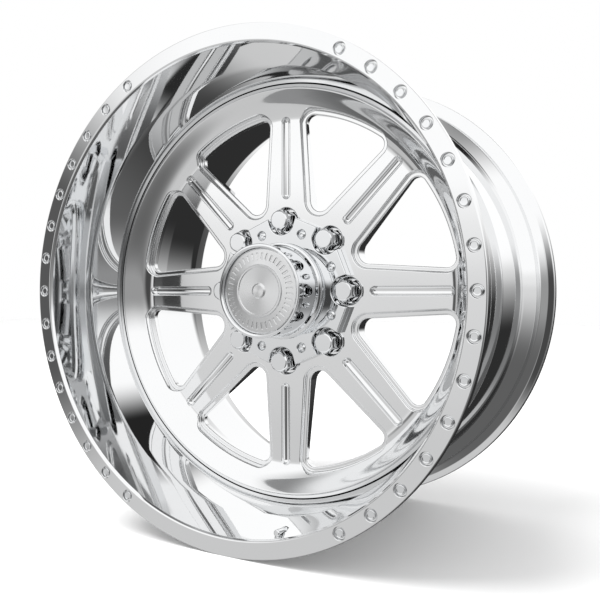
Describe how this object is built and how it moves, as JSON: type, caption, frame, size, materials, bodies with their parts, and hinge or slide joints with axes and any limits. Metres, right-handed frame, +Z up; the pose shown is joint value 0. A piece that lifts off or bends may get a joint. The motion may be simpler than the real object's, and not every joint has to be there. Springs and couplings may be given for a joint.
{
  "type": "wheel rim",
  "caption": "Polished forged deep-lip truck wheel rim with straight spokes, round-bottomed grooves, a bolted lip and a tall centre cap.",
  "frame": {"origin": "the wheel's centre: on the spin axis, half way between the two flange faces", "axes": "+Y along the spin axis towards the vehicle; the street side with the spokes' faces looks towards -Y; +Z up, through a spoke"},
  "size_m": [0.5986, 0.328, 0.5986],
  "materials": {
    "polished_aluminium": "mirror polished",
    "chrome": "bright chrome plate",
    "bolt_chrome": "bright chrome plate",
    "satin_metal": "spun satin with a clear coat",
    "brass": "turned",
    "rubber": "moulded"
  },
  "bodies": {
    "wheel": {"barrel": "polished_aluminium", "wheel_centre": "polished_aluminium", "lip_bolt_01": "bolt_chrome", "lip_bolt_02": "bolt_chrome", "lip_bolt_03": "bolt_chrome", "lip_bolt_04": "bolt_chrome", "lip_bolt_05": "bolt_chrome", "lip_bolt_06": "bolt_chrome", "lip_bolt_07": "bolt_chrome", "lip_bolt_08": "bolt_chrome", "lip_bolt_09": "bolt_chrome", "lip_bolt_10": "bolt_chrome", "lip_bolt_11": "bolt_chrome", "lip_bolt_12": "bolt_chrome", "lip_bolt_13": "bolt_chrome", "lip_bolt_14": "bolt_chrome", "lip_bolt_15": "bolt_chrome", "lip_bolt_16": "bolt_chrome", "lip_bolt_17": "bolt_chrome", "lip_bolt_18": "bolt_chrome", "lip_bolt_19": "bolt_chrome", "lip_bolt_20": "bolt_chrome", "lip_bolt_21": "bolt_chrome", "lip_bolt_22": "bolt_chrome", "lip_bolt_23": "bolt_chrome", "lip_bolt_24": "bolt_chrome", "lip_bolt_25": "bolt_chrome", "lip_bolt_26": "bolt_chrome", "lip_bolt_27": "bolt_chrome", "lip_bolt_28": "bolt_chrome", "lip_bolt_29": "bolt_chrome", "lip_bolt_30": "bolt_chrome", "valve_stem": "chrome", "valve_seal": "rubber", "valve_core": "brass"},
    "centre_cap": {"centre_cap_body": "chrome", "centre_cap_face": "satin_metal", "cap_screw_1": "chrome", "cap_screw_2": "chrome", "cap_screw_3": "chrome", "cap_screw_4": "chrome", "cap_screw_5": "chrome", "cap_screw_6": "chrome", "cap_screw_7": "chrome", "cap_screw_8": "chrome"},
    "lug_nut_1": {"lug_nut_1": "chrome"},
    "lug_nut_2": {"lug_nut_2": "chrome"},
    "lug_nut_3": {"lug_nut_3": "chrome"},
    "lug_nut_4": {"lug_nut_4": "chrome"},
    "lug_nut_5": {"lug_nut_5": "chrome"},
    "lug_nut_6": {"lug_nut_6": "chrome"},
    "lug_nut_7": {"lug_nut_7": "chrome"},
    "lug_nut_8": {"lug_nut_8": "chrome"},
    "valve_cap": {"valve_cap": "chrome"},
    "valve_pin": {"valve_core_pin": "brass"}
  },
  "joints": [
    {"name": "centre_cap_removal", "type": "slide", "parent": "wheel", "child": "centre_cap", "axis": [0, -1, 0], "range_m": [0, 0.09]},
    {"name": "lug_nut_1_unscrew", "type": "slide", "parent": "wheel", "child": "lug_nut_1", "axis": [0, -1, 0], "range_m": [0, 0.06]},
    {"name": "lug_nut_2_unscrew", "type": "slide", "parent": "wheel", "child": "lug_nut_2", "axis": [0, -1, 0], "range_m": [0, 0.06]},
    {"name": "lug_nut_3_unscrew", "type": "slide", "parent": "wheel", "child": "lug_nut_3", "axis": [0, -1, 0], "range_m": [0, 0.06]},
    {"name": "lug_nut_4_unscrew", "type": "slide", "parent": "wheel", "child": "lug_nut_4", "axis": [0, -1, 0], "range_m": [0, 0.06]},
    {"name": "lug_nut_5_unscrew", "type": "slide", "parent": "wheel", "child": "lug_nut_5", "axis": [0, -1, 0], "range_m": [0, 0.06]},
    {"name": "lug_nut_6_unscrew", "type": "slide", "parent": "wheel", "child": "lug_nut_6", "axis": [0, -1, 0], "range_m": [0, 0.06]},
    {"name": "lug_nut_7_unscrew", "type": "slide", "parent": "wheel", "child": "lug_nut_7", "axis": [0, -1, 0], "range_m": [0, 0.06]},
    {"name": "lug_nut_8_unscrew", "type": "slide", "parent": "wheel", "child": "lug_nut_8", "axis": [0, -1, 0], "range_m": [0, 0.06]},
    {"name": "valve_cap_unscrew", "type": "slide", "parent": "wheel", "child": "valve_cap", "axis": [-0.0253, -0.9942, 0.1049], "range_m": [0, 0.014]},
    {"name": "valve_pin_press", "type": "slide", "parent": "wheel", "child": "valve_pin", "axis": [0.0253, 0.9942, -0.1049], "range_m": [0, 0.0012], "stiffness_N_per_m": 400, "springref_m": -0.002}
  ]
}
